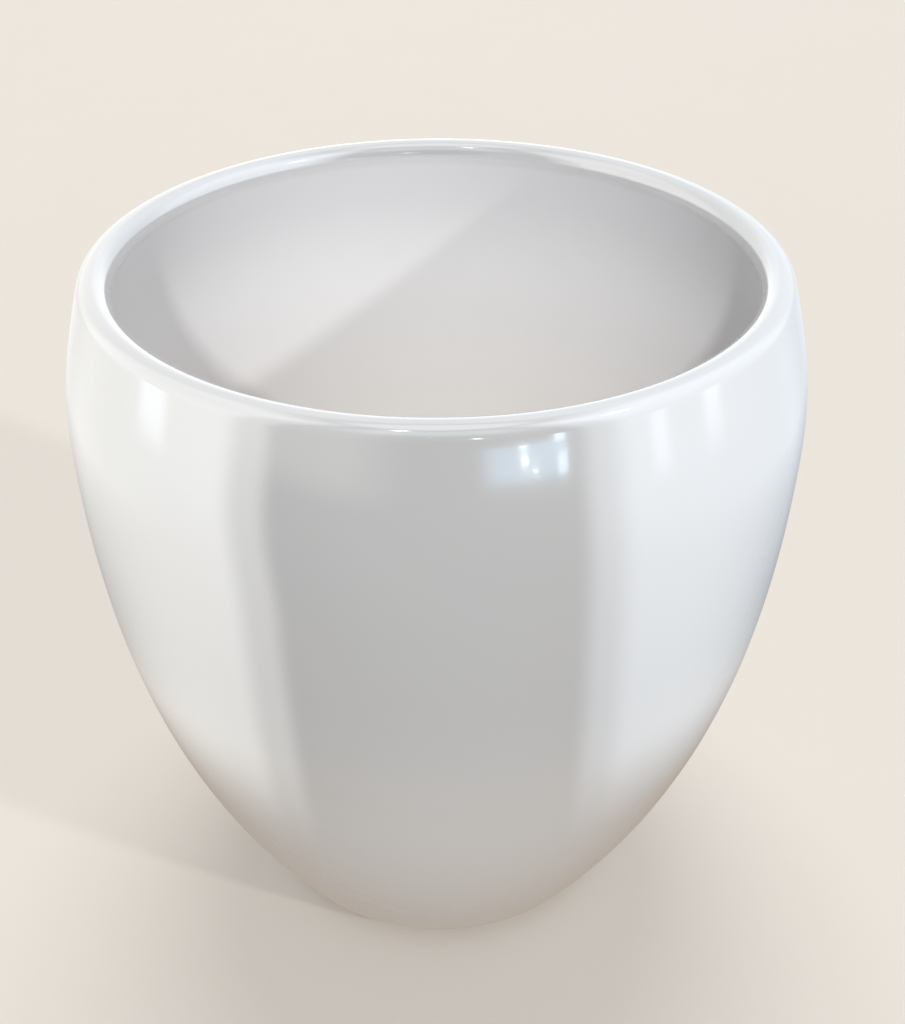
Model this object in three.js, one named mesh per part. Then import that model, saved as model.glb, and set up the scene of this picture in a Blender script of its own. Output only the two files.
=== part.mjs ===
// A glazed ceramic flower pot: an egg-shaped cover pot with a half-round lip and a recessed
// underside inside a foot ring. Round felt pads keep the ring off the table.
// Millimetres, +Z up. The origin is on the table, under the middle of the pot.
import * as THREE from "three";

// Driving dimensions of the pot. Heights are counted from the face of the foot ring.
const BODY_HEIGHT = 154;
const BELLY_DIAMETER = 150; // the widest place, measured outside
const BELLY_BELOW_RIM = 36; // the widest place lies this far under the top of the lip
const MOUTH_DIAMETER = 125.5; // the clear opening between the lip's inner edges
const LIP_THICKNESS = 6.5;
const WALL_THICKNESS = 6;
const FLOOR_THICKNESS = 7;
const FLOOR_CORNER_RADIUS = 14; // inside, where the wall turns into the floor
const HEEL_RADIUS = 5; // outside, where the foot ring turns up into the flank
const FOOT_DIAMETER = 82; // outer edge of the ring's flat face
const FOOT_RING_WIDTH = 10;
const FOOT_RECESS = 2.5; // the underside lies this far above the ring's face
const FOOT_EDGE_RADIUS = 1;

// The lines of the egg. A pull is the share of a curve's rise over which it keeps its end direction.
const FLARE_ANGLE = THREE.MathUtils.degToRad(29.5); // from upright, where the flank leaves the heel
const LIP_LEAN = THREE.MathUtils.degToRad(17); // from upright, where the wall leans in to the lip
const LOWER_PULL = 0.38;
const UPPER_PULL = 0.42;

// The felt pads and the film of glue that holds them
const PAD_COUNT = 4;
const PAD_THICKNESS = 2;
const PAD_EDGE_RADIUS = 0.5;
const PAD_MARGIN = 0.75; // bare ring on each side of a pad
const GLUE_FILM = 0.2;

// Fineness of the facets
const BODY_TURN_STEPS = 72;
const PAD_TURN_STEPS = 24;
const HEEL_STEPS = 4;
const FLANK_STEPS = 14;
const SHOULDER_STEPS = 8;
const LIP_STEPS = 10;
const CORNER_STEPS = 5;
const EDGE_STEPS = 3;

const QUARTER_TURN = Math.PI / 2;
const HALF_TURN = Math.PI;
const FULL_TURN = 2 * Math.PI;
const SHARE_TOLERANCE = 1e-6;
const point = (radius, height) => new THREE.Vector2(radius, height);

// The place at a distance from a start, in a direction counted from the outward radius.
function pointAt(start, angle, distance) {
  return point(start.x + distance * Math.cos(angle), start.y + distance * Math.sin(angle));
}

function arcPoints(centre, radius, startAngle, endAngle, steps) {
  const clockwise = endAngle < startAngle;
  const arc = new THREE.EllipseCurve(centre.x, centre.y, radius, radius, startAngle, endAngle, clockwise);
  return arc.getPoints(steps);
}

// A cubic curve that leaves one point and reaches another in set directions.
function pulledCurve(start, startAngle, end, endAngle, pull) {
  const reach = pull * (end.y - start.y);
  const leaving = pointAt(start, startAngle, reach);
  const arriving = pointAt(end, endAngle, -reach);
  return new THREE.CubicBezierCurve(start, leaving, arriving, end);
}

// The place under a curve's surface at a depth, square to the curve.
function inset(curve, share, depth) {
  const surface = curve.getPoint(share);
  const along = curve.getTangent(share);
  return point(surface.x - along.y * depth, surface.y + along.x * depth);
}

// The share of a rising curve at which its inset reaches a height, by halving.
function shareAtHeight(curve, depth, height) {
  let below = 0;
  let above = 1;
  while (above - below > SHARE_TOLERANCE) {
    const middle = (below + above) / 2;
    if (inset(curve, middle, depth).y < height) below = middle;
    else above = middle;
  }
  return below;
}

// Key places of the outline: heel, belly and lip
const heelCentre = point(FOOT_DIAMETER / 2, HEEL_RADIUS);
const heelTop = pointAt(heelCentre, -FLARE_ANGLE, HEEL_RADIUS);
const belly = point(BELLY_DIAMETER / 2, BODY_HEIGHT - BELLY_BELOW_RIM);
const lipRadius = LIP_THICKNESS / 2;
const lipCentre = point(MOUTH_DIAMETER / 2 + lipRadius, BODY_HEIGHT - lipRadius);
const lipOutside = pointAt(lipCentre, LIP_LEAN, lipRadius);

// The outside wall: a flank that widens up to the belly, and a shoulder that leans in to the lip
const flank = pulledCurve(heelTop, QUARTER_TURN - FLARE_ANGLE, belly, QUARTER_TURN, LOWER_PULL);
const shoulder = pulledCurve(belly, QUARTER_TURN, lipOutside, QUARTER_TURN + LIP_LEAN, UPPER_PULL);

// The underside, from the axis out to the heel: recess, rounded ring edge and flat ring face.
function undersidePoints() {
  const ringInside = FOOT_DIAMETER / 2 - FOOT_RING_WIDTH;
  const edgeRadius = Math.min(FOOT_EDGE_RADIUS, FOOT_RECESS / 2);
  const recessCorner = point(ringInside - edgeRadius, FOOT_RECESS - edgeRadius);
  const ringEdge = point(ringInside + edgeRadius, edgeRadius);
  return [
    point(0, FOOT_RECESS),
    ...arcPoints(recessCorner, edgeRadius, QUARTER_TURN, 0, EDGE_STEPS),
    ...arcPoints(ringEdge, edgeRadius, HALF_TURN, HALF_TURN + QUARTER_TURN, EDGE_STEPS),
  ];
}

// The outside, from the ring's face up over the lip to the mouth.
function outsidePoints() {
  return [
    ...arcPoints(heelCentre, HEEL_RADIUS, -QUARTER_TURN, -FLARE_ANGLE, HEEL_STEPS),
    ...flank.getPoints(FLANK_STEPS).slice(1),
    ...shoulder.getPoints(SHOULDER_STEPS).slice(1),
    ...arcPoints(lipCentre, lipRadius, LIP_LEAN, LIP_LEAN + HALF_TURN, LIP_STEPS).slice(1),
  ];
}

// The inside, from the lip down to the axis: the wall keeps its thickness, which grows to the lip's
// at the shoulder, and a round corner leads into the flat floor.
function insidePoints() {
  const floorHeight = FOOT_RECESS + FLOOR_THICKNESS;
  const cornerDepth = WALL_THICKNESS + FLOOR_CORNER_RADIUS;
  const cornerShare = shareAtHeight(flank, cornerDepth, floorHeight + FLOOR_CORNER_RADIUS);
  const cornerCentre = inset(flank, cornerShare, cornerDepth);
  const wallDirection = flank.getTangent(cornerShare).angle() - QUARTER_TURN;
  const points = [];
  for (let step = SHOULDER_STEPS - 1; step >= 0; step--) {
    const share = step / SHOULDER_STEPS;
    const depth = THREE.MathUtils.lerp(WALL_THICKNESS, LIP_THICKNESS, share * share);
    points.push(inset(shoulder, share, depth));
  }
  for (let step = FLANK_STEPS - 1; step > 0; step--) {
    const share = THREE.MathUtils.lerp(cornerShare, 1, step / FLANK_STEPS);
    points.push(inset(flank, share, WALL_THICKNESS));
  }
  points.push(...arcPoints(cornerCentre, FLOOR_CORNER_RADIUS, wallDirection, -QUARTER_TURN, CORNER_STEPS));
  points.push(point(0, floorHeight));
  return points;
}

// A felt pad, from the axis of its underside to the axis of its top, with a rounded lower edge.
function padPoints() {
  const radius = FOOT_RING_WIDTH / 2 - PAD_MARGIN;
  const edgeRadius = Math.min(PAD_EDGE_RADIUS, PAD_THICKNESS / 2);
  const edgeCentre = point(radius - edgeRadius, edgeRadius);
  return [
    point(0, 0),
    ...arcPoints(edgeCentre, edgeRadius, -QUARTER_TURN, 0, EDGE_STEPS),
    point(radius, PAD_THICKNESS),
    point(0, PAD_THICKNESS),
  ];
}

// A solid turned about +Z from an outline that starts and ends on the axis.
function turnedMesh(name, outline, steps, material) {
  const geometry = new THREE.LatheGeometry(outline, steps);
  geometry.rotateX(QUARTER_TURN);
  const mesh = new THREE.Mesh(geometry, material);
  mesh.name = name;
  return mesh;
}

const glaze = new THREE.MeshStandardMaterial({ color: 0xe6e7ec, roughness: 0.12, metalness: 0 });
const felt = new THREE.MeshStandardMaterial({ color: 0x6f6a63, roughness: 0.95, metalness: 0 });

const flowerPot = new THREE.Group();

const bodyOutline = [...undersidePoints(), ...outsidePoints(), ...insidePoints()];
const potBody = turnedMesh("pot_body", bodyOutline, BODY_TURN_STEPS, glaze);
potBody.position.z = PAD_THICKNESS + GLUE_FILM;
flowerPot.add(potBody);

const padCircleRadius = (FOOT_DIAMETER - FOOT_RING_WIDTH) / 2;
for (let index = 0; index < PAD_COUNT; index++) {
  const turn = ((index + 0.5) / PAD_COUNT) * FULL_TURN;
  const pad = turnedMesh(`felt_pad_${index + 1}`, padPoints(), PAD_TURN_STEPS, felt);
  pad.position.set(padCircleRadius * Math.cos(turn), padCircleRadius * Math.sin(turn), 0);
  flowerPot.add(pad);
}

export default flowerPot;
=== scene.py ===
# %% [markdown]
# # A pearl-glazed flower pot
# The pot is one slip-cast stoneware shell: an egg-shaped wall, a half-round lip, a flat floor inside
# and a low foot ring below. Pearl glaze covers the outside and the lip, a satin glaze lines the
# inside, and the foot ring is bare clay, as the pot stood on it in the kiln. Four felt discs are stuck
# under the ring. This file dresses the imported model: every size is in metres and stands in the packed
# model's own frame.

import bpy
import numpy as np
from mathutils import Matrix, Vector


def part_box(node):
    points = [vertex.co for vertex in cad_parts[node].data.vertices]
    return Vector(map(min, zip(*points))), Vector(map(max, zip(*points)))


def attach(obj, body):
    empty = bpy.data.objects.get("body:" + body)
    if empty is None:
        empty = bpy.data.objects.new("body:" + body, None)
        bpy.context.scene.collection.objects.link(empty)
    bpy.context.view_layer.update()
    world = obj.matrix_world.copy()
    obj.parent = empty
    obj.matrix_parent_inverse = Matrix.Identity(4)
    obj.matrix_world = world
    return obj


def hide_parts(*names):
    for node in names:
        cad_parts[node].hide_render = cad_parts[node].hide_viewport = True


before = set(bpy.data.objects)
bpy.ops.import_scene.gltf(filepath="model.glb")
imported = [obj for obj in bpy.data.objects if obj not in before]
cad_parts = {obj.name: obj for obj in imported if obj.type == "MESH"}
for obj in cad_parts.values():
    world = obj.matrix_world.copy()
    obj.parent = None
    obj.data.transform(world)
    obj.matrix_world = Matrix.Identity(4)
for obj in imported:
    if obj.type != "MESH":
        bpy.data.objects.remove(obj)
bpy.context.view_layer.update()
pot_low, pot_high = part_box("pot_body")
print("packed pot, metres:", [round(v, 4) for v in pot_high - pot_low])

# %% [markdown]
# ## Camera first
# The photograph was taken from close by, looking down at about 35 degrees, so the mouth is a wide
# ellipse and the foot looks small. A camera could be turned by eye until the outline fits. Here it was
# solved from the pot's outline, so it only needs its place, its two angles and its lens. The picture
# is taller than wide, so the sensor size counts for the height.

# %% Camera
CAMERA_PLACE = (0.0, -0.22755, 0.25192)
CAMERA_DOWN = 34.899
CAMERA_TURN = -0.777
CAMERA_LENS = 43.3125
CAMERA_SENSOR = 36.0
CAMERA_NEAREST = 0.01

camera_data = bpy.data.cameras.new("photo_camera")
camera_data.lens = CAMERA_LENS
camera_data.sensor_width = CAMERA_SENSOR
camera_data.clip_start = CAMERA_NEAREST
camera = bpy.data.objects.new("photo_camera", camera_data)
camera.location = CAMERA_PLACE
camera.rotation_euler = (np.radians(90 - CAMERA_DOWN), 0.0, np.radians(CAMERA_TURN))
bpy.context.collection.objects.link(camera)
bpy.context.scene.camera = camera
print("camera lens, mm:", camera_data.lens)

# %% [markdown]
# ## The wall's section
# A potter shapes the plaster mould by one curve, from the foot to the lip. A spun curve object or a
# stack of rings would also do, but with the section as numpy arrays each stretch keeps its own
# formula: circle arcs for the rounded edges, one cubic for the flank below the widest line and one for
# the shoulder above.

# %% Curves of the section
MM = 0.001


def heading(angle):
    """The unit vector of an angle in degrees: (cosine, sine), along the radius and up."""
    turn = np.radians(angle)
    return np.array([np.cos(turn), np.sin(turn)])


def arc(centre, radius, start, end, steps):
    """Points of an arc: the centre plus the radius times headings spread evenly from start to end."""
    turn = np.radians(np.linspace(start, end, steps + 1))
    return np.asarray(centre) + radius * np.column_stack([np.cos(turn), np.sin(turn)])


def pulled_curve(start, start_angle, end, end_angle, pull):
    """Handles of a cubic: the inner two lie along their headings, a share, pull, of the rise away."""
    reach = pull * (end[1] - start[1])
    after_start = start + reach * heading(start_angle)
    before_end = end - reach * heading(end_angle)
    return np.array([start, after_start, before_end, end])


def points_along(handles, shares):
    """Points of the cubic: the handles weighted by (1-s)^3, 3s(1-s)^2, 3s^2(1-s) and s^3."""
    s = np.atleast_1d(shares)[:, None]
    weights = np.hstack([(1 - s) ** 3, 3 * s * (1 - s) ** 2, 3 * s**2 * (1 - s), s**3])
    return weights @ handles


def inset(handles, shares, depth):
    """Points at a depth inside the wall: the cubic's point plus depth times the normal on its left."""
    s = np.atleast_1d(shares)[:, None]
    steps = np.diff(handles, axis=0)
    slope = np.hstack([(1 - s) ** 2, 2 * s * (1 - s), s**2]) @ steps
    slope /= np.linalg.norm(slope, axis=1, keepdims=True)
    left = np.column_stack([-slope[:, 1], slope[:, 0]])
    return points_along(handles, shares) + np.reshape(depth, (-1, 1)) * left


print("section curves ready")

# %% [markdown]
# ## Sizes of the section
# These repeat the solid model's own values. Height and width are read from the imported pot, so the
# dressed pot can't drift away from it.

# %% Sizes of the section
BODY_HEIGHT = pot_high.z - pot_low.z
BELLY_RADIUS = pot_high.x
BELLY_BELOW_RIM = 36 * MM
MOUTH_RADIUS = 62.75 * MM
LIP_THICKNESS = 6.5 * MM
LIP_LEAN = 17
WALL_THICKNESS = 6 * MM
FLOOR_THICKNESS = 7 * MM
FLOOR_CORNER_RADIUS = 14 * MM
FOOT_RADIUS = 41 * MM
FOOT_RING_WIDTH = 10 * MM
FOOT_RECESS = 2.5 * MM
FOOT_EDGE_RADIUS = 1 * MM
HEEL_RADIUS = 5 * MM
FLARE_ANGLE = 29.5
LOWER_PULL = 0.38
UPPER_PULL = 0.42

heel_centre = np.array([FOOT_RADIUS, HEEL_RADIUS])
heel_top = heel_centre + HEEL_RADIUS * heading(-FLARE_ANGLE)
belly = np.array([BELLY_RADIUS, BODY_HEIGHT - BELLY_BELOW_RIM])
lip_radius = LIP_THICKNESS / 2
lip_centre = np.array([MOUTH_RADIUS + lip_radius, BODY_HEIGHT - lip_radius])
lip_outside = lip_centre + lip_radius * heading(LIP_LEAN)
flank = pulled_curve(heel_top, 90 - FLARE_ANGLE, belly, 90, LOWER_PULL)
shoulder = pulled_curve(belly, 90, lip_outside, 90 + LIP_LEAN, UPPER_PULL)
print("widest line, mm above the foot:", round(belly[1] / MM, 1))

# %% [markdown]
# ## One closed section, from axis to axis
# The section starts on the axis under the pot, runs out over the recess and the foot ring, up the
# outside, over the lip, down the inside and back to the axis on the floor. An open outline with a
# Solidify modifier would be shorter, but it would make the foot ring as thick as the wall. The first
# stretch is the underside: a shallow recess, so that the pot stands on a ring and doesn't rock.

# %% Underside
FLAT_STEPS, EDGE_STEPS, RING_STEPS = 22, 6, 6


def underside_points():
    """From the axis out over the flat recess, round two small edges and over the foot ring."""
    ring_inside = FOOT_RADIUS - FOOT_RING_WIDTH
    edge = FOOT_EDGE_RADIUS
    flat_radii = (ring_inside - edge) * np.sin(np.linspace(0, np.pi / 2, FLAT_STEPS, endpoint=False))
    flat = np.column_stack([flat_radii, np.full(FLAT_STEPS, FOOT_RECESS)])
    inner_edge = arc((ring_inside - edge, FOOT_RECESS - edge), edge, 90, 0, EDGE_STEPS)
    outer_edge = arc((ring_inside + edge, edge), edge, 180, 270, EDGE_STEPS)
    ring_radii = np.linspace(ring_inside + edge, FOOT_RADIUS, RING_STEPS + 1)[1:-1]
    ring = np.column_stack([ring_radii, np.zeros(ring_radii.size)])
    return np.vstack([flat, inner_edge, outer_edge, ring])


under = underside_points()
print("underside:", len(under), "points")

# %% [markdown]
# ## Outside and lip
# The flank and the shoulder meet upright at the widest line, and the lip is half a turn that starts in
# the shoulder's own direction. One curve with a few handles would be quicker to draw, but gloss shows
# every kink, so the stretches share their end directions.

# %% Outside
HEEL_STEPS, FLANK_STEPS, SHOULDER_STEPS, LIP_STEPS = 22, 60, 30, 40


def outside_points():
    """Heel arc, flank cubic, shoulder cubic, then half a turn round the lip."""
    shares = np.linspace(0, 1, FLANK_STEPS + 1)[1:]
    upper_shares = np.linspace(0, 1, SHOULDER_STEPS + 1)[1:-1]
    return np.vstack([
        arc(heel_centre, HEEL_RADIUS, -90, -FLARE_ANGLE, HEEL_STEPS),
        points_along(flank, shares),
        points_along(shoulder, upper_shares),
        arc(lip_centre, lip_radius, LIP_LEAN, LIP_LEAN + 180, LIP_STEPS),
    ])


outer = outside_points()
print("outside and lip:", len(outer), "points")

# %% [markdown]
# ## Inside
# Slip dries against the mould in an even layer, so the inside is the outside moved in by the wall's
# thickness. A scaled copy of the outside would be thinner in some places than in others. Where the
# inside meets the floor, a fillet is fitted: the centre of its circle lies on the curve that is a wall
# and a fillet radius inside the flank, at one fillet radius above the floor.

# %% Inside
CORNER_STEPS, FLOOR_STEPS = 16, 10
CORNER_TRIES = 2001


def inside_points():
    """Shoulder and flank moved in by the wall, which grows to the lip's thickness with the square of the
    share, then the fillet's arc, then the floor back to the axis."""
    floor_height = FOOT_RECESS + FLOOR_THICKNESS
    tries = np.linspace(0, 1, CORNER_TRIES)
    centres = inset(flank, tries, WALL_THICKNESS + FLOOR_CORNER_RADIUS)
    corner_share = np.interp(floor_height + FLOOR_CORNER_RADIUS, centres[:, 1], tries)
    corner_centre = inset(flank, corner_share, WALL_THICKNESS + FLOOR_CORNER_RADIUS)[0]
    wall_end = inset(flank, corner_share, WALL_THICKNESS)[0]
    wall_angle = np.degrees(np.arctan2(*(wall_end - corner_centre)[::-1]))
    upper = np.linspace(1, 0, SHOULDER_STEPS + 1)[1:]
    lower = np.linspace(1, corner_share, FLANK_STEPS + 1)[1:-1]
    corner = arc(corner_centre, FLOOR_CORNER_RADIUS, wall_angle, -90, CORNER_STEPS)
    floor_radii = np.linspace(corner[-1, 0], 0, FLOOR_STEPS + 1)[1:]
    depth = WALL_THICKNESS + (LIP_THICKNESS - WALL_THICKNESS) * upper**2
    return np.vstack([
        inset(shoulder, upper, depth),
        inset(flank, lower, WALL_THICKNESS),
        corner,
        np.column_stack([floor_radii, np.full(FLOOR_STEPS, floor_height)]),
    ])


inner = inside_points()
section = np.vstack([under, outer, inner])
section_run = np.concatenate([[0], np.cumsum(np.linalg.norm(np.diff(section, axis=0), axis=1))])
print("section:", len(section), "points over", round(section_run[-1] / MM), "mm")

# %% [markdown]
# ## Signs of the kiln
# A fired pot is never a perfect turned shape: the wall is a tenth of a millimetre out of round, the
# glaze lies in shallow waves, and it stops in a wavy edge above the bare foot ring. A bump texture
# could fake this, but the reflections on gloss show the true surface, so the waves are in the mesh.

# %% Values of the waves and the glaze line
COLUMNS = 320
OUT_OF_ROUND = 0.12 * MM
ROUND_PHASE = 0.6
GLAZE_WAVE = 0.012 * MM
WAVE_COUNT = 24
WAVES_ROUND = (3, 22)
WAVE_LENGTHS = (18 * MM, 60 * MM)
WAVE_SEED = 5
GLAZE_STEP = 0.3 * MM
GLAZE_STEP_BLEND = 1.2 * MM
GLAZE_LINE_WAVE = 0.25 * MM
# waves round, share of the size, phase
GLAZE_LINE_SINES = ((3, 1.0, 0.7), (8, 0.6, 0.0), (17, 0.4, 0.0))
GLAZE_LINE_BLEND = 0.35 * MM
RECESS_LINE_INSET = 2 * MM
HEEL_LINE_ANGLE = -63
LINING_STARTS = -2.8 * MM
LINING_BLEND = 4.0 * MM
print("waves in the glaze:", WAVE_COUNT)

# %% [markdown]
# ## Waves and zones
# The waves are a sum of sines with seeded lengths and phases, so every run gives the same pot. Two
# zones are worked out on the same grid, 0 outside and 1 inside with a soft edge: bare clay between the
# two glaze lines, and the lining from just before the lip's end. The material reads them later.

# %% Waves and zones
azimuth = np.arange(COLUMNS) * 2 * np.pi / COLUMNS


def smooth_step(value):
    """0 below 0, 1 above 1, and 3v^2 - 2v^3 between."""
    v = np.clip(value, 0, 1)
    return v * v * (3 - 2 * v)


def ripple(run, turn, seed):
    """Shallow waves from many sines, each with whole waves round, a wavelength along and a phase."""
    rng = np.random.default_rng(seed)
    round_count = rng.integers(*WAVES_ROUND, WAVE_COUNT)
    along_rate = 2 * np.pi / rng.uniform(*WAVE_LENGTHS, WAVE_COUNT)
    phase = rng.uniform(0, 2 * np.pi, WAVE_COUNT)
    waves = np.sin(turn[..., None] * round_count + run[..., None] * along_rate + phase)
    return waves.mean(axis=-1) * np.sqrt(WAVE_COUNT)


heel_row = len(under)
lip_end_row = len(under) + len(outer) - 1
heel_line = section_run[heel_row] + HEEL_RADIUS * np.radians(90 + HEEL_LINE_ANGLE)
recess_line = FOOT_RADIUS - FOOT_RING_WIDTH - RECESS_LINE_INSET
run_grid, turn_grid = np.meshgrid(section_run, azimuth, indexing="ij")
line_sines = [size * np.sin(count * turn_grid + phase) for count, size, phase in GLAZE_LINE_SINES]
line_wave = GLAZE_LINE_WAVE * sum(line_sines)
bare_zone = smooth_step((run_grid - recess_line - line_wave) / GLAZE_LINE_BLEND + 0.5)
bare_zone *= smooth_step((heel_line + line_wave - run_grid) / GLAZE_LINE_BLEND + 0.5)
lining_zone = smooth_step((run_grid - section_run[lip_end_row] - LINING_STARTS) / LINING_BLEND)
print("bare clay covers", round(100 * bare_zone.mean(), 1), "% of the grid")

# %% [markdown]
# ## From section to surface
# The surface is the section carried round the axis: a point at radius r and height z goes to (r cos a,
# r sin a, z). A Screw modifier would do that too, but with the same section all round, so without
# waves. The two ends of the section lie on the axis and become single points with a fan of triangles,
# so the shell is closed.

# %% Lathe helpers


def section_normals(points):
    """Outward normals of a section with the clay on its left: the tangent turned a quarter right."""
    tangent = np.gradient(points, axis=0)
    tangent /= np.linalg.norm(tangent, axis=1, keepdims=True)
    return np.column_stack([tangent[:, 1], -tangent[:, 0]])


def lathe_faces(rows, columns):
    """Quads between neighbouring rings, the last column joined to the first, and a fan at each pole."""
    ring = np.arange(1, rows - 1)
    start = 1 + (ring - 1) * columns
    column = np.arange(columns)
    after = (column + 1) % columns
    low = start[:-1, None] + column
    low_after = start[:-1, None] + after
    quads = np.stack([low, low_after, low_after + columns, low + columns], axis=-1).reshape(-1, 4)
    last = start[-1]
    pole = last + columns
    first_fan = np.column_stack([np.zeros(columns, int), 1 + after, 1 + column])
    last_fan = np.column_stack([last + column, last + after, np.full(columns, pole)])
    return quads, first_fan, last_fan


def lathe_piece(name, radius, height, turn, values=None):
    """A closed mesh from grids of radius and height: rows along the section, columns round the axis."""
    rows, columns = radius.shape
    grid = np.stack([radius * np.cos(turn), radius * np.sin(turn), height], axis=-1)
    first_pole, last_pole = [0, 0, height[0].mean()], [0, 0, height[-1].mean()]
    corners = np.vstack([first_pole, grid[1:-1].reshape(-1, 3), last_pole])
    quads, first_fan, last_fan = lathe_faces(rows, columns)
    mesh = bpy.data.meshes.new(name)
    mesh.from_pydata(corners, [], [*first_fan.tolist(), *quads.tolist(), *last_fan.tolist()])
    mesh.polygons.foreach_set("use_smooth", np.ones(len(mesh.polygons), bool))
    for zone, value in (values or {}).items():
        layer = mesh.attributes.new(zone, "FLOAT", "POINT")
        flat = np.concatenate([[value[0].mean()], value[1:-1].ravel(), [value[-1].mean()]])
        layer.data.foreach_set("value", flat.astype(np.float32))
    mesh.update()
    piece = bpy.data.objects.new(name, mesh)
    bpy.context.collection.objects.link(piece)
    return piece


print("lathe helpers ready")

# %% [markdown]
# ## The lathe unrolled
# A turned surface unrolls into one rectangle: a share of a turn across, a share of the section's
# length up. An automatic unwrap would cut it into many islands. The fan at each pole gets triangles of
# its own.

# %% Unwrap


def strip_unwrap(piece, rows, columns, run):
    """A UV map that unrolls the lathe: u is a share of a turn, v a share of the section's length."""
    share = run / run[-1]
    column = np.arange(columns)
    ring = np.arange(1, rows - 2)[:, None]
    u = np.stack([column, column + 1, column + 1, column], axis=-1) / columns
    quad_u = np.broadcast_to(u, (rows - 3, columns, 4))
    quad_v = np.stack([share[ring], share[ring], share[ring + 1], share[ring + 1]], axis=-1)
    quad_v = np.broadcast_to(quad_v, (rows - 3, columns, 4))
    middle = (column + 0.5) / columns
    first = np.stack([
        np.column_stack([middle, (column + 1) / columns, column / columns]),
        np.column_stack([np.zeros(columns), np.full(columns, share[1]), np.full(columns, share[1])]),
    ], axis=-1)
    last = np.stack([
        np.column_stack([column / columns, (column + 1) / columns, middle]),
        np.column_stack([np.full(columns, share[-2]), np.full(columns, share[-2]), np.ones(columns)]),
    ], axis=-1)
    quad = np.stack([quad_u, quad_v], axis=-1)
    layer = piece.data.uv_layers.new(name="OFBake")
    corners = np.concatenate([first.ravel(), quad.ravel(), last.ravel()])
    layer.uv.foreach_set("vector", corners.astype(np.float32))


print("unwrap ready")

# %% [markdown]
# ## The pot
# The whole shell is one surface, as it comes from one mould. Separate meshes for the wall, the lip and
# the foot would leave seams in the gloss. Each point first moves along its own normal by the glaze's
# wave, and on the heel's bare clay it sinks by the glaze's thickness.

# %% The pot
normals = section_normals(section)
glazed = 1 - bare_zone
sunk = GLAZE_STEP * bare_zone * smooth_step((run_grid - section_run[heel_row]) / GLAZE_STEP_BLEND)
move = GLAZE_WAVE * ripple(run_grid, turn_grid, WAVE_SEED) * glazed - sunk
round_error = OUT_OF_ROUND * section[:, 1:] / BODY_HEIGHT * np.cos(2 * turn_grid + ROUND_PHASE)
pot_radius = section[:, :1] + normals[:, :1] * move + round_error
pot_height = pot_low.z + section[:, 1:] + normals[:, 1:] * move
zones = {"bare": bare_zone, "lining": lining_zone}
pot = lathe_piece("pearl_pot", pot_radius, pot_height, turn_grid, zones)
strip_unwrap(pot, len(section), COLUMNS, section_run)
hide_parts("pot_body")
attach(pot, "root")
print("pot:", len(pot.data.polygons), "faces")

# %% [markdown]
# ## Felt pads
# Each pad is a disc punched from pressed wool felt and stuck under the foot ring. A plain cylinder
# would look like plastic: a punched disc has a crowned face and a rounded lower edge. So the section
# is a rounded box. Its top 0.2 mm is the film of glue that reaches the clay.

# %% Section of a pad
PAD_EDGE_RADIUS = 0.5 * MM
PAD_CROWN = 0.06 * MM
PAD_EDGE_STEPS, PAD_FACE_STEPS, PAD_SIDE_STEPS = 8, 16, 12


def pad_section(radius, thickness):
    """From axis to axis: crowned lower face, quarter arc at the edge, straight side and flat top."""
    face_radii = np.linspace(0, radius - PAD_EDGE_RADIUS, PAD_FACE_STEPS, endpoint=False)
    face_height = PAD_CROWN * (face_radii / radius) ** 4
    edge_centre = (radius - PAD_EDGE_RADIUS, PAD_EDGE_RADIUS)
    lower_edge = arc(edge_centre, PAD_EDGE_RADIUS, -90, 0, PAD_EDGE_STEPS)
    lower_edge[:, 1] += PAD_CROWN * np.linspace(1, 0, PAD_EDGE_STEPS + 1)
    side_heights = np.linspace(PAD_EDGE_RADIUS, thickness, PAD_SIDE_STEPS + 1)[1:]
    top_radii = np.linspace(radius, 0, PAD_FACE_STEPS + 1)[1:]
    return np.vstack([
        np.column_stack([face_radii, face_height]),
        lower_edge,
        np.column_stack([np.full(PAD_SIDE_STEPS, radius), side_heights]),
        np.column_stack([top_radii, np.full(PAD_FACE_STEPS, thickness)]),
    ])


print("pad crown, mm:", round(PAD_CROWN / MM, 2))

# %% [markdown]
# ## Nap of the felt
# Fibres give the felt an uneven face. Hair particles would be too heavy for pads that lie under the
# pot, and felt of 2 mm is too stiff for a cloth simulation, so seeded noise moves the points in along
# their normals.

# %% Felt pads
PAD_COLUMNS = 128
PAD_NAP = 0.035 * MM
PAD_TOP_BLEND = 0.3 * MM
PAD_SEED = 100


def felt_pad(number):
    """The section carried round the pad's own axis, moved along its normals by seeded noise."""
    low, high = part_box(f"felt_pad_{number}")
    middle = (low + high) / 2
    radius = (high.x - low.x) / 2
    points = pad_section(radius, high.z - low.z)
    columns = np.arange(PAD_COLUMNS) * 2 * np.pi / PAD_COLUMNS
    turn = np.broadcast_to(columns, (len(points), PAD_COLUMNS))
    rng = np.random.default_rng(PAD_SEED + number)
    fibre = rng.normal(0, 1, turn.shape)
    fibre = (fibre + np.roll(fibre, 1, axis=1) + np.roll(fibre, 1, axis=0)) / np.sqrt(3)
    below_top = smooth_step((high.z - low.z - points[:, 1:]) / PAD_TOP_BLEND)
    move = -PAD_NAP * np.abs(fibre) * below_top
    outward = section_normals(points)
    reach = points[:, :1] + outward[:, :1] * move
    height = low.z + points[:, 1:] + outward[:, 1:] * move
    pad = lathe_piece(f"felt_disc_{number}", reach, height, turn)
    place = np.array([middle.x, middle.y, 0.0])
    flat = np.empty(len(pad.data.vertices) * 3, np.float32)
    pad.data.vertices.foreach_get("co", flat)
    pad.data.vertices.foreach_set("co", (flat.reshape(-1, 3) + place).ravel())
    pad.data.update()
    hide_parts(f"felt_pad_{number}")
    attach(pad, "root")
    return pad


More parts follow.
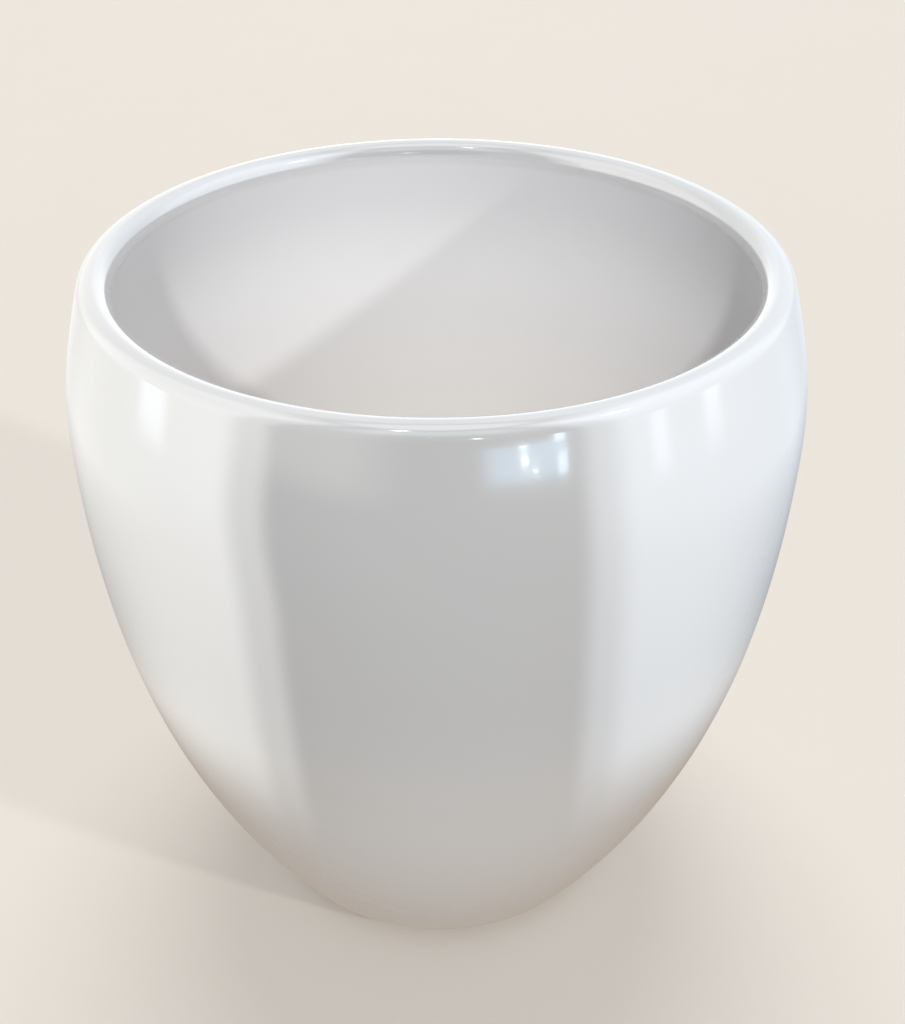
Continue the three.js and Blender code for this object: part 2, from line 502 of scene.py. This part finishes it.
pads = [felt_pad(number) for number in (1, 2, 3, 4)]
print("pads:", [pad.name for pad in pads])

# %% [markdown]
# ## Nodes in few words
# A finish is a tree of nodes. Each could be made, set and linked on lines of its own, but a handful of
# helpers says the same in one line: put a node, mix two values, spread a value over a range,
# calculate.

# %% Node helpers


def put(tree, kind, inputs=None, **settings):
    """A new node: plain values are set on its sockets, and other nodes' sockets are linked to them."""
    node = tree.nodes.new(kind)
    for name, value in settings.items():
        setattr(node, name, value)
    for key, value in (inputs or {}).items():
        if isinstance(value, bpy.types.NodeSocket):
            tree.links.new(value, node.inputs[key])
        else:
            node.inputs[key].default_value = value
    return node


def mix_colour(tree, share, first, second):
    """first where share is 0, second where it is 1."""
    return put(tree, "ShaderNodeMix", {0: share, 6: first, 7: second}, data_type="RGBA").outputs[2]


def mix_value(tree, share, first, second):
    """The same for plain numbers."""
    return put(tree, "ShaderNodeMix", {0: share, 2: first, 3: second}, data_type="FLOAT").outputs[0]


def spread(tree, value, low, high):
    """A value from 0 to 1 spread from low to high."""
    return put(tree, "ShaderNodeMapRange", {"Value": value, "To Min": low, "To Max": high}).outputs[0]


def calculate(tree, operation, first, second):
    """A Math node, such as MULTIPLY or MAXIMUM, on two numbers or sockets."""
    return put(tree, "ShaderNodeMath", {0: first, 1: second}, operation=operation).outputs[0]


print("node helpers ready")

# %% [markdown]
# ## Empty groups and materials
# Every finish starts from the same two things: a group with named sockets for an effect that comes
# back, and a material with one Principled shader.

# %% New groups and materials


def new_group(name, inputs, outputs):
    """An empty shader node group with the named sockets; returns the tree and its two end nodes."""
    tree = bpy.data.node_groups.new(name, "ShaderNodeTree")
    for label, kind in inputs:
        tree.interface.new_socket(label, in_out="INPUT", socket_type=kind)
    for label, kind in outputs:
        tree.interface.new_socket(label, in_out="OUTPUT", socket_type=kind)
    return tree, tree.nodes.new("NodeGroupInput"), tree.nodes.new("NodeGroupOutput")


def new_material(name):
    """A material with an empty tree, one Principled shader and its output."""
    material = bpy.data.materials.new(name)
    material.use_nodes = True
    tree = material.node_tree
    tree.nodes.clear()
    shader = tree.nodes.new("ShaderNodeBsdfPrincipled")
    put(tree, "ShaderNodeOutputMaterial", {"Surface": shader.outputs["BSDF"]})
    return material, tree, shader


print("groups and materials can be made")

# %% [markdown]
# ## Shared effects
# Two effects come back in several finishes: cloudy patches of tone, and small scattered specks. Each
# is one node group with named inputs, so every material sets its own scale. They read Object
# coordinates, which stay with the piece when it moves.

# %% Cloud and speck groups
VECTOR, NUMBER = "NodeSocketVector", "NodeSocketFloat"
FINER = 9.0
BROAD_DETAIL, FINE_DETAIL = 2.0, 3.0

cloud_group, source, result = new_group(
    "kiln_cloud", [("Vector", VECTOR), ("Scale", NUMBER), ("Fine Share", NUMBER)], [("Value", NUMBER)]
)
where, scale = source.outputs["Vector"], source.outputs["Scale"]
finer_scale = calculate(cloud_group, "MULTIPLY", scale, FINER)
broad = put(cloud_group, "ShaderNodeTexNoise", {
    "Vector": where, "Scale": scale, "Detail": BROAD_DETAIL,
})
fine = put(cloud_group, "ShaderNodeTexNoise", {
    "Vector": where, "Scale": finer_scale, "Detail": FINE_DETAIL,
})
both = mix_value(cloud_group, source.outputs["Fine Share"], broad.outputs[0], fine.outputs[0])
cloud_group.links.new(both, result.inputs["Value"])

speck_group, source, result = new_group(
    "fine_specks",
    [("Vector", VECTOR), ("Scale", NUMBER), ("Size", NUMBER), ("Share", NUMBER)],
    [("Mask", NUMBER)],
)
cells = put(speck_group, "ShaderNodeTexVoronoi", {
    "Vector": source.outputs["Vector"], "Scale": source.outputs["Scale"],
})
near = put(speck_group, "ShaderNodeMapRange", {
    "Value": cells.outputs["Distance"], "From Min": source.outputs["Size"], "From Max": 0.0,
})
draw = put(speck_group, "ShaderNodeSeparateColor", {"Color": cells.outputs["Color"]})
chosen = calculate(speck_group, "LESS_THAN", draw.outputs[0], source.outputs["Share"])
mask = calculate(speck_group, "MULTIPLY", near.outputs[0], chosen)
speck_group.links.new(mask, result.inputs["Mask"])
print("groups:", [group.name for group in (cloud_group, speck_group)])

# %% [markdown]
# ## Placing the effects
# Two functions put a group into a material and set its values, so that a finish reads as a list of
# effects.

# %% Clouds and specks in a material


def cloud(tree, vector, scale, fine_share):
    """The kiln cloud group placed in a material with its own values."""
    node = put(tree, "ShaderNodeGroup", node_tree=cloud_group)
    tree.links.new(vector, node.inputs["Vector"])
    node.inputs["Scale"].default_value = scale
    node.inputs["Fine Share"].default_value = fine_share
    return node.outputs["Value"]


def specks(tree, vector, scale, size, share):
    """The speck group placed in a material with its own values."""
    node = put(tree, "ShaderNodeGroup", node_tree=speck_group)
    tree.links.new(vector, node.inputs["Vector"])
    for label, value in (("Scale", scale), ("Size", size), ("Share", share)):
        node.inputs[label].default_value = value
    return node.outputs["Mask"]


print("clouds and specks ready")

# %% [markdown]
# ## Pearl glaze, satin lining and bare clay
# Pearl glaze is a white glaze with mica flakes in it, under a clear glassy skin: the flakes mirror the
# room a little softly and the skin mirrors it sharply. A plain white plastic shader would mirror too
# little when seen straight on. So a small Metallic share of low roughness stands for the flakes, and a
# coat with next to no roughness for the skin. The lining has the white glaze without flakes or skin.
# Its colour carries painted light: a blue tint near the lip is painted cool light from above, and a
# warmer colour towards the bottom is painted warm bounce light.
# The foot ring is buff clay with grog. One material blends the three by the zones that the mesh carries.

# %% Values of the glazes and the clay
PEARL_COOL = (0.597, 0.607, 0.627, 1)
PEARL_WARM = (0.612, 0.607, 0.602, 1)
# painted light: the lining's white glaze is real, its blue tint is painted cool light from above near
# the lip
LINING_WHITE_PAINTED_COOL = (0.82, 0.825, 0.848, 1)
LINING_GREY_PAINTED_COOL = (0.80, 0.805, 0.828, 1)
# painted warm bounce light: the lining's colour deeper down, reached between two depths below the lip
LINING_PAINTED_WARM = (0.765, 0.737, 0.705, 1)
PAINTED_WARM_FROM, PAINTED_WARM_FULL = 12 * MM, 82 * MM
CLAY_BUFF = (0.62, 0.53, 0.43, 1)
CLAY_DARK = (0.50, 0.41, 0.32, 1)
SPECK_BROWN = (0.42, 0.37, 0.33, 1)
PEARL_MIRROR = 0.3
PEARL_ROUGH = (0.09, 0.12)
SATIN_ROUGH = (0.36, 0.46)
CLAY_ROUGH = 0.9
SKIN_ROUGH, SKIN_IOR = 0.015, 1.5
GLAZE_SPECULAR = 0.3
PEEL_RELIEF, GRAIN_RELIEF = 0.02, 2.0
RELIEF_STRENGTH, RELIEF_DEPTH = 0.5, 0.05 * MM
print("pearl roughness:", PEARL_ROUGH)

# %% Colours of the stoneware
stoneware, tree, shader = new_material("glazed_stoneware")
place = put(tree, "ShaderNodeTexCoord").outputs["Object"]
bare = put(tree, "ShaderNodeAttribute", attribute_name="bare").outputs["Fac"]
lining = put(tree, "ShaderNodeAttribute", attribute_name="lining").outputs["Fac"]
tone = cloud(tree, place, scale=22.0, fine_share=0.25)
grog = specks(tree, place, scale=900.0, size=0.35, share=0.35)

pearl = mix_colour(tree, tone, PEARL_COOL, PEARL_WARM)
satin = mix_colour(tree, tone, LINING_WHITE_PAINTED_COOL, LINING_GREY_PAINTED_COOL)
up = put(tree, "ShaderNodeSeparateXYZ", {"Vector": place}).outputs["Z"]
# painted warm bounce light: the lining turns from its painted cool tint to the warm colour with the
# depth below the lip
painted_warm = put(tree, "ShaderNodeMapRange", {
    "Value": up, "From Min": pot_high.z - PAINTED_WARM_FROM, "From Max": pot_high.z - PAINTED_WARM_FULL,
}).outputs[0]
satin = mix_colour(tree, painted_warm, satin, LINING_PAINTED_WARM)
clay = mix_colour(tree, tone, CLAY_BUFF, CLAY_DARK)
clay = mix_colour(tree, grog, clay, SPECK_BROWN)
white = mix_colour(tree, lining, pearl, satin)
tree.links.new(mix_colour(tree, bare, white, clay), shader.inputs["Base Color"])
print("colours of:", stoneware.name)

# %% [markdown]
# ## Gloss and relief
# The same zones steer the gloss: flakes and skin only where the pearl glaze is. The glaze has a faint
# orange peel and the clay a grain. Both are far finer than the mesh, so they are a bump.

# %% Gloss and relief of the stoneware
pearl_rough = spread(tree, tone, *PEARL_ROUGH)
satin_rough = spread(tree, tone, *SATIN_ROUGH)
glaze_rough = mix_value(tree, lining, pearl_rough, satin_rough)
tree.links.new(mix_value(tree, bare, glaze_rough, CLAY_ROUGH), shader.inputs["Roughness"])

covered = calculate(tree, "MAXIMUM", lining, bare)
tree.links.new(spread(tree, covered, PEARL_MIRROR, 0.0), shader.inputs["Metallic"])
tree.links.new(spread(tree, covered, 1.0, 0.0), shader.inputs["Coat Weight"])
shader.inputs["Coat Roughness"].default_value = SKIN_ROUGH
shader.inputs["Coat IOR"].default_value = SKIN_IOR
shader.inputs["Specular IOR Level"].default_value = GLAZE_SPECULAR

peel = spread(tree, cloud(tree, place, scale=260.0, fine_share=0.2), 0.0, PEEL_RELIEF)
grain = spread(tree, cloud(tree, place, scale=1500.0, fine_share=0.5), 0.0, GRAIN_RELIEF)
relief = mix_value(tree, bare, peel, grain)
bump = put(tree, "ShaderNodeBump", {
    "Strength": RELIEF_STRENGTH, "Distance": RELIEF_DEPTH, "Height": relief,
})
tree.links.new(bump.outputs["Normal"], shader.inputs["Normal"])
pot.data.materials.append(stoneware)
print("pot finish:", stoneware.name)

# %% [markdown]
# ## Pressed felt and glue
# Felt has no weave: it is matted fibre, so its colour is a fine heather of lighter and darker hairs
# and its surface has no gloss, only a faint sheen where hairs catch light. The glue film is pale and
# smoother, and a height test keeps it to the top of each disc.

# %% Felt
FELT_DARK = (0.13, 0.118, 0.105, 1)
FELT_LIGHT = (0.30, 0.275, 0.25, 1)
GLUE_CLEAR = (0.62, 0.58, 0.50, 1)
GLUE_FILM, GLUE_BLEND = 0.2 * MM, 0.1 * MM
HAIR_STRETCH = (1.0, 1.0, 0.35)
HEATHER_SPREAD = (-0.4, 1.4)
LIGHT_HAIR_SHARE = 0.5
FELT_ROUGH, GLUE_ROUGH = (0.88, 1.0), 0.4
FELT_SHEEN = 0.2
FELT_RELIEF_STRENGTH, FELT_RELIEF_DEPTH = 0.8, 0.1 * MM

felt, tree, shader = new_material("pressed_felt")
place = put(tree, "ShaderNodeTexCoord").outputs["Object"]
stretched = put(tree, "ShaderNodeMapping", {"Vector": place, "Scale": HAIR_STRETCH}).outputs[0]
hairs = cloud(tree, stretched, scale=1400.0, fine_share=0.6)
light_hairs = specks(tree, stretched, scale=2600.0, size=0.5, share=0.3)
heather = mix_colour(tree, spread(tree, hairs, *HEATHER_SPREAD), FELT_DARK, FELT_LIGHT)
heather = mix_colour(tree, spread(tree, light_hairs, 0.0, LIGHT_HAIR_SHARE), heather, FELT_LIGHT)
up = put(tree, "ShaderNodeSeparateXYZ", {"Vector": place}).outputs["Z"]
glue = put(tree, "ShaderNodeMapRange", {
    "Value": up, "From Min": pot_low.z - GLUE_FILM - GLUE_BLEND, "From Max": pot_low.z - GLUE_FILM,
}).outputs[0]
tree.links.new(mix_colour(tree, glue, heather, GLUE_CLEAR), shader.inputs["Base Color"])
felt_rough = spread(tree, hairs, *FELT_ROUGH)
tree.links.new(mix_value(tree, glue, felt_rough, GLUE_ROUGH), shader.inputs["Roughness"])
shader.inputs["Sheen Weight"].default_value = FELT_SHEEN
bump = put(tree, "ShaderNodeBump", {
    "Strength": FELT_RELIEF_STRENGTH, "Distance": FELT_RELIEF_DEPTH, "Height": hairs,
})
tree.links.new(bump.outputs["Normal"], shader.inputs["Normal"])
for pad in pads:
    pad.data.materials.append(felt)
print("pad finish:", felt.name)

# %% [markdown]
# ## Floor
# A plain pale floor, wide enough to fill the picture. A patterned one would pull the eye from the pot.
# The gloss doesn't mirror this floor: sheets further down draw the mirrored one, as it needs its own
# brightness.

# %% Floor
FLOOR_HALF = 20.0
FLOOR_PALE = (0.70, 0.655, 0.60, 1)
FLOOR_DEEP = (0.68, 0.63, 0.57, 1)
FLOOR_ROUGH, FLOOR_SPECULAR = 0.9, 0.1

floor_mesh = bpy.data.meshes.new("pale_floor")
floor_corners = FLOOR_HALF * np.array([(-1, -1, 0), (1, -1, 0), (1, 1, 0), (-1, 1, 0)])
floor_mesh.from_pydata(floor_corners, [], [(0, 1, 2, 3)])
floor = bpy.data.objects.new("pale_floor", floor_mesh)
bpy.context.collection.objects.link(floor)
paper, tree, shader = new_material("pale_paper")
place = put(tree, "ShaderNodeTexCoord").outputs["Object"]
patches = cloud(tree, place, scale=3.0, fine_share=0.3)
tree.links.new(mix_colour(tree, patches, FLOOR_PALE, FLOOR_DEEP), shader.inputs["Base Color"])
shader.inputs["Roughness"].default_value = FLOOR_ROUGH
shader.inputs["Specular IOR Level"].default_value = FLOOR_SPECULAR
floor.data.materials.append(paper)
floor.visible_glossy = False
print("floor:", 2 * FLOOR_HALF, "m wide")

# %% [markdown]
# ## Studio light
# Three soft lamps light the pot and the floor: a small one behind the camera and a small one low on
# the right throw the two shadow edges inside the pot, and a wide one overhead lights the lip. Area
# lights would leave the far floor dark, so sun lamps are used: their light is even all over, and their
# angle sets how soft the shadows are. The gloss doesn't mirror them, because it has its own sheets
# further down.

# %% Soft lamps


def toward(azimuth_degrees, elevation_degrees):
    """Unit vector: azimuth 0 is the camera's side and grows to the right, elevation is above level."""
    a, e = np.radians([azimuth_degrees, elevation_degrees])
    return Vector((np.sin(a) * np.cos(e), -np.cos(a) * np.cos(e), np.sin(e)))


def soft_lamp(name, azimuth_degrees, elevation_degrees, angle_degrees, strength):
    """A white sun lamp whose light comes from the given direction, spread over the given angle."""
    data = bpy.data.lights.new(name, "SUN")
    data.angle = np.radians(angle_degrees)
    data.energy = strength
    lamp = bpy.data.objects.new(name, data)
    lamp.rotation_euler = toward(azimuth_degrees, elevation_degrees).to_track_quat("Z", "Y").to_euler()
    lamp.visible_glossy = False
    bpy.context.collection.objects.link(lamp)
    return lamp


# name, azimuth, elevation and angle in degrees, strength
SOFT_LAMPS = (
    ("lamp_behind_camera", -4, 35.4, 4.0, 1.80),
    ("lamp_right_low", 57, 23.7, 3.2, 0.74),
    ("lamp_overhead", 180, 68, 35.0, 1.25),
)
lamps = [soft_lamp(*values) for values in SOFT_LAMPS]
print("soft lamps:", [lamp.name for lamp in lamps])

# %% [markdown]
# ## What the gloss mirrors
# A glossy round wall, seen from above, mirrors the floor, the foot of the walls and a few lamps. Area
# lights would show there as flat white squares. Sheets with their own glow can fade as a floor or a
# wall does, so the mirrored room is drawn by such sheets. Only reflections see them, and they add to
# what lies behind them.

# %% Glow of a sheet


def glow_material(name, radiance, colour):
    """Clear, plus a glow of the mesh's own glow value times the radiance."""
    material = bpy.data.materials.new(name)
    material.use_nodes = True
    material.cycles.emission_sampling = "NONE"
    tree = material.node_tree
    tree.nodes.clear()
    glow = put(tree, "ShaderNodeAttribute", attribute_name="glow").outputs["Fac"]
    strength = calculate(tree, "MULTIPLY", glow, radiance)
    light = put(tree, "ShaderNodeEmission", {"Color": (*colour, 1), "Strength": strength})
    clear = put(tree, "ShaderNodeBsdfTransparent")
    both = put(tree, "ShaderNodeAddShader", {0: light.outputs[0], 1: clear.outputs[0]})
    put(tree, "ShaderNodeOutputMaterial", {"Surface": both.outputs[0]})
    return material


print("glow ready")

# %% [markdown]
# ## Sheets round the pot
# Each sheet is a grid of points with a glow value at every point, so its fades are numbers in the mesh.
# Fades made of nodes would need a tree for each sheet.

# %% Glowing sheets


def glow_sheet(name, grid, glow, radiance, colour):
    """A sheet from a grid of points. It adds its glow to what reflections see; nothing else sees it."""
    rows, columns = grid.shape[:2]
    index = np.arange(rows * columns).reshape(rows, columns)
    low, high = index[:-1], index[1:]
    quads = np.stack([low[:, :-1], low[:, 1:], high[:, 1:], high[:, :-1]], axis=-1).reshape(-1, 4)
    mesh = bpy.data.meshes.new(name)
    mesh.from_pydata(grid.reshape(-1, 3), [], quads.tolist())
    layer = mesh.attributes.new("glow", "FLOAT", "POINT")
    values = np.broadcast_to(glow, (rows, columns)).astype(np.float32)
    layer.data.foreach_set("value", values.ravel())
    mesh.materials.append(glow_material(name, radiance, colour))
    sheet = bpy.data.objects.new(name, mesh)
    bpy.context.collection.objects.link(sheet)
    sheet.visible_camera = False
    sheet.visible_diffuse = False
    sheet.visible_transmission = False
    sheet.visible_volume_scatter = False
    sheet.visible_shadow = False
    return sheet


def round_grid(section, degrees):
    """A section carried round the pot. Azimuth 0 is the camera's side, and it grows to the right."""
    turn = np.radians(degrees)
    radius, height = section[:, :1], section[:, 1:]
    x, y = radius * np.sin(turn), -radius * np.cos(turn)
    return np.stack([x, y, np.broadcast_to(height, x.shape)], axis=-1)


print("sheet helpers ready")

# %% [markdown]
# ## Floor ring and ceiling in the gloss
# A warm ring stands for the floor close to the foot, which gives the lower flank a warm tone, and a
# pale disc stands for the ceiling, which the lip mirrors. Flat lamps would end in a hard line, so both
# are sheets that fade towards their rim.

# %% Floor ring and ceiling
RING_NEAR, RING_FULL, RING_FAR, RING_LIFT = 42 * MM, 60 * MM, 170 * MM, 0.5 * MM
CEILING_NEAR, CEILING_FULL, CEILING_FAR, CEILING_HEIGHT = 10 * MM, 0.75, 1.5, 3.9
RING_RADIANCE, CEILING_RADIANCE = 0.34, 1.0
STEPS_OUT, STEPS_ROUND = 48, 120
WARM_FLOOR = (1.0, 0.80, 0.62)
WHITE = (1.0, 1.0, 1.0)


def level_disc(name, near, full, far, height, radiance, colour):
    """A level disc with a small hole. Its glow is whole out to a radius and then falls to the rim."""
    radii = np.linspace(near, far, STEPS_OUT)
    section = np.column_stack([radii, np.full(STEPS_OUT, height)])
    grid = round_grid(section, np.linspace(-180, 180, STEPS_ROUND + 1))
    glow = 1 - smooth_step((radii[:, None] - full) / (far - full))
    return glow_sheet(name, grid, glow, radiance, colour)


discs = [
    level_disc("floor_ring", RING_NEAR, RING_FULL, RING_FAR, RING_LIFT, RING_RADIANCE, WARM_FLOOR),
    level_disc(
        "ceiling", CEILING_NEAR, CEILING_FULL, CEILING_FAR, CEILING_HEIGHT, CEILING_RADIANCE, WHITE,
    ),
]
print("discs:", [disc.name for disc in discs])

# %% [markdown]
# ## Two sweeps for the room
# Two sweeps, curved sheets that lie on the floor and rise further out, stand for the pale room at the
# left, at the right and behind, where one passes into the other. A plain dome would leave no dark
# middle. The sweeps leave a gap on the camera's side, so the middle of the flank stays darker between
# two bright bands. Each edge of the gap brightens in two soft steps, and near the foot it comes closer
# to the camera's side.

# %% Edges of the sweeps
EDGE_NEAR = 120 * MM
DUSK_FROM, DUSK_RANGE, DUSK_LOW, DUSK_RISE = 6.0, 22.0, 20 * MM, 110 * MM
# degrees, but fade is in metres, and share and dusk are shares of the full glow
LEFT_EDGE = dict(
    far=44.2, shift=9.2, fade=0.25, first=7.0, pause=9.5, second=9.0, share=0.52, dusk=0.20,
)
RIGHT_EDGE = dict(
    far=36.8, shift=3.4, fade=0.60, first=8.0, pause=8.0, second=11.0, share=0.55, dusk=0.08,
)


def edge_start(radius, edge):
    """Azimuth where the glow begins: the far edge's, less a shift that fades with the distance."""
    return edge["far"] - edge["shift"] * np.exp((EDGE_NEAR - radius) / edge["fade"])


def edge_glow(run, radius, height, edge):
    """Glow from the camera's side outwards: a faint dusk on the gap's wall, then two soft steps. The
    first begins at the edge's start and has its share of the rise, the second begins a pause later."""
    dusk = smooth_step((run - DUSK_FROM) / DUSK_RANGE) * smooth_step((height - DUSK_LOW) / DUSK_RISE)
    past = run - edge_start(radius, edge)
    first = smooth_step(past / edge["first"])
    second = smooth_step((past - edge["pause"]) / edge["second"])
    steps = edge["share"] * first + (1 - edge["share"]) * second
    return steps + edge["dusk"] * dusk * (1 - steps)


print("far edges, degrees:", -LEFT_EDGE["far"], RIGHT_EDGE["far"])

# %% [markdown]
# ## Shading of the sweeps
# The mirrored room isn't evenly bright: the floor is dark right at the foot and in the pot's shade,
# the wall behind is dimmer than the sides, and so are the corners and the tops. A modelled room would
# give this too, but it takes long to render. Here each of them is one formula, and the glow is their
# product.

# %% Glow of the sweeps
SWEEP_NEAR, SWEEP_RISE, SWEEP_HALF = 58 * MM, 57 * MM, 55 * MM
SWEEP_FAR, SWEEP_BEND, SWEEP_TOP, SWEEP_LOW = 1.0, 0.30, 4.0, 0.30
CLOSE_TO, CLOSE_RANGE, CLOSE_LOSS = 320 * MM, 200 * MM, 0.60
BACK_FROM, BACK_RANGE, BACK_LOSS = 60.0, 65.0, 0.22
BACK_WALL_FROM, BACK_WALL_RANGE, BACK_WALL_LOSS = 155.0, 25.0, 0.35
WALL_RANGE, TOP_FROM, TOP_RANGE, TOP_LOSS = 1.0, 1.8, 2.0, 0.5
CORNER_FROM, CORNER_RISE, CORNER_TO, CORNER_FALL, CORNER_LOSS = 115.0, 20.0, 158.0, 18.0, 0.25
OVERLAP = 50.0


def floor_glow(turn, radius, height):
    """A rise with the distance r from the axis as 1 - h / r, less the pot's shade on the close floor at
    the sides and the back, and less a part of all the floor behind."""
    away = (1 - SWEEP_HALF / radius) * smooth_step((radius - SWEEP_NEAR) / SWEEP_RISE)
    close = np.clip((CLOSE_TO - radius) / CLOSE_RANGE, 0, 1)
    backward = smooth_step((turn - BACK_FROM) / BACK_RANGE)
    low = 1 - smooth_step(height / SWEEP_LOW)
    return away * (1 - CLOSE_LOSS * close * backward) * (1 - BACK_LOSS * low * backward**2)


def wall_glow(turn, height, wall_gain):
    """The wall's own gain, less a part of the wall behind, of the tops and of the two corners."""
    up = smooth_step((height - SWEEP_LOW) / WALL_RANGE)
    dim_back = BACK_WALL_LOSS * smooth_step((turn - BACK_WALL_FROM) / BACK_WALL_RANGE)
    dim_top = TOP_LOSS * smooth_step((height - TOP_FROM) / TOP_RANGE)
    into_corner = smooth_step((turn - CORNER_FROM) / CORNER_RISE)
    out_of_corner = smooth_step((turn - CORNER_TO) / CORNER_FALL)
    corner = 1 - CORNER_LOSS * into_corner * (1 - out_of_corner)
    return (1 + (wall_gain - 1) * up) * (1 - dim_back * up) * (1 - dim_top) * corner


def sweep_glow(degrees, radius, height, edge, wall_gain):
    """The edge's glow times the floor's and the wall's. At the back it fades as the other comes up."""
    run = np.abs(degrees)
    turn = 180 - np.abs(180 - run)
    passing = 1 - smooth_step((run - 180 + OVERLAP) / (2 * OVERLAP))
    room = floor_glow(turn, radius, height) * wall_glow(turn, height, wall_gain)
    return edge_glow(run, radius, height, edge) * room * passing


print("sweep glow ready")

# %% [markdown]
# ## The sweeps as sheets
# A studio sweep is one sheet of paper: it lies on the floor and bends up without a corner. Separate
# floors and walls would show their corner in the gloss, so each side is one sheet of that kind.

# %% Sweeps
BEND_STEPS, WALL_STEPS, SWEEP_STEPS = 12, 30, 240
CREAM, ICE = (1.0, 0.99, 0.945), (0.9, 0.98, 1.06)


def reflector_sweep(name, side, edge, lift, radiance, wall_gain, colour):
    """Section: out along the floor, a quarter bend, then up, carried from the gap round past the back.
    The lift, out and up, keeps it off the other sweep where both overlap."""
    floor_run = np.geomspace(SWEEP_NEAR, SWEEP_FAR, STEPS_OUT)
    bend = arc((SWEEP_FAR, SWEEP_BEND), SWEEP_BEND, -90, 0, BEND_STEPS)[1:]
    wall_run = np.linspace(SWEEP_BEND, SWEEP_TOP, WALL_STEPS)[1:]
    section = np.vstack([
        np.column_stack([floor_run, np.zeros(floor_run.size)]),
        bend,
        np.column_stack([np.full(wall_run.size, SWEEP_FAR + SWEEP_BEND), wall_run]),
    ])
    degrees = side * np.linspace(DUSK_FROM, 180 + OVERLAP, SWEEP_STEPS + 1)
    glow = sweep_glow(degrees, section[:, :1], section[:, 1:], edge, wall_gain)
    return glow_sheet(name, round_grid(section + lift, degrees), glow, radiance, colour)


sweeps = [
    reflector_sweep("sweep_left", -1, LEFT_EDGE, 2 * MM, radiance=1.8, wall_gain=0.80, colour=CREAM),
    reflector_sweep("sweep_right", 1, RIGHT_EDGE, 4 * MM, radiance=1.6, wall_gain=1.08, colour=ICE),
]
print("sweeps:", [sweep.name for sweep in sweeps])

# %% [markdown]
# ## Window panes and lamps
# The shoulder mirrors what stands at its own height, and the lip mirrors what is above. A few panes
# stand there: a pale window with two brighter panes and three lamps on the camera's side, one window
# at the left and two at the right, and for the lip a pale upper wall and three more lamps. Pictures of
# a room would tie the pot to one place, so each pane is a plain glow with a soft border.

# %% Panes
PANE_STEPS = 17
PALE_BLUE, DAYLIGHT, UPPER_WALL = (0.45, 0.78, 1.05), (0.75, 0.95, 1.10), (0.88, 1.0, 1.04)
LEFT_DAY, RIGHT_DAY, SIDE_DAY = (0.80, 0.97, 1.08), (0.92, 1.0, 1.08), (0.95, 1.0, 1.05)
# name, azimuth in degrees, distance, height, width and tallness in metres, border, radiance, colour
PANES = (
    ("window_front", 23.0, 1.07, 0.156, 0.54, 0.105, 0.55, 1.10, PALE_BLUE),
    ("pane_upper", 33.0, 1.06, 0.241, 0.062, 0.147, 0.25, 2.4, DAYLIGHT),
    ("pane_lower", 33.6, 1.06, 0.134, 0.056, 0.040, 0.25, 2.4, DAYLIGHT),
    ("lamp_far", 22.9, 1.05, 0.184, 0.041, 0.012, 0.25, 5.0, WHITE),
    ("lamp_middle", 23.2, 1.05, 0.159, 0.041, 0.015, 0.25, 5.0, WHITE),
    ("lamp_near", 26.0, 1.05, 0.137, 0.035, 0.011, 0.25, 3.5, WHITE),
    ("window_left", -85.0, 0.69, 0.106, 0.18, 0.22, 0.6, 0.60, LEFT_DAY),
    ("window_right", 61.8, 0.70, 0.120, 0.10, 0.20, 0.7, 0.45, RIGHT_DAY),
    ("window_side", 80.8, 0.69, 0.130, 0.115, 0.26, 0.7, 0.50, SIDE_DAY),
    ("wall_high", 0.0, 1.25, 2.20, 2.0, 2.6, 0.6, 0.50, UPPER_WALL),
    ("lamp_high", 11.0, 1.00, 0.560, 0.045, 0.15, 0.25, 4.0, WHITE),
    ("ceiling_lamp_left", -20.7, 0.61, 1.56, 0.040, 0.20, 0.25, 34.0, WHITE),
    ("ceiling_lamp_right", 66.8, 1.02, 1.29, 0.050, 0.14, 0.25, 34.0, WHITE),
)


def pane(name, azimuth_degrees, distance, height, width, tall, border, radiance, colour):
    """An upright curved pane. Its glow softens towards the border, over a share of half its size."""
    half_turn = np.degrees(width / distance) / 2
    degrees = azimuth_degrees + np.linspace(-half_turn, half_turn, PANE_STEPS)
    heights = height + np.linspace(-tall / 2, tall / 2, PANE_STEPS)
    section = np.column_stack([np.full(PANE_STEPS, distance), heights])
    across = np.linspace(-1, 1, PANE_STEPS)
    inside = smooth_step((1 - np.abs(across)) / border)
    return glow_sheet(name, round_grid(section, degrees), inside[:, None] * inside, radiance, colour)


panes = [pane(*values) for values in PANES]
print("panes:", len(panes))

# %% [markdown]
# ## The room's own light
# A pale, even light fills the shadows. A gradient or a sky would do too, but the sheets already stand
# for the room, so the gloss sees only a little of this light. The camera sees it brighter, as a pale
# background past the floor's end.

# %% World and colour
ROOM_LIGHT = 0.42
ROOM_IN_GLOSS = 0.12
BACKDROP = 0.85
ROOM_COLOUR = (0.96, 0.98, 1.0, 1)

world = bpy.data.worlds.new("pale_room")
world.use_nodes = True
tree = world.node_tree
background = tree.nodes["Background"]
background.inputs["Color"].default_value = ROOM_COLOUR
path = put(tree, "ShaderNodeLightPath")
strength = mix_value(tree, path.outputs["Is Glossy Ray"], ROOM_LIGHT, ROOM_IN_GLOSS)
strength = mix_value(tree, path.outputs["Is Camera Ray"], strength, BACKDROP)
tree.links.new(strength, background.inputs["Strength"])
bpy.context.scene.world = world
bpy.context.scene.view_settings.view_transform = "Standard"
print("world:", world.name)
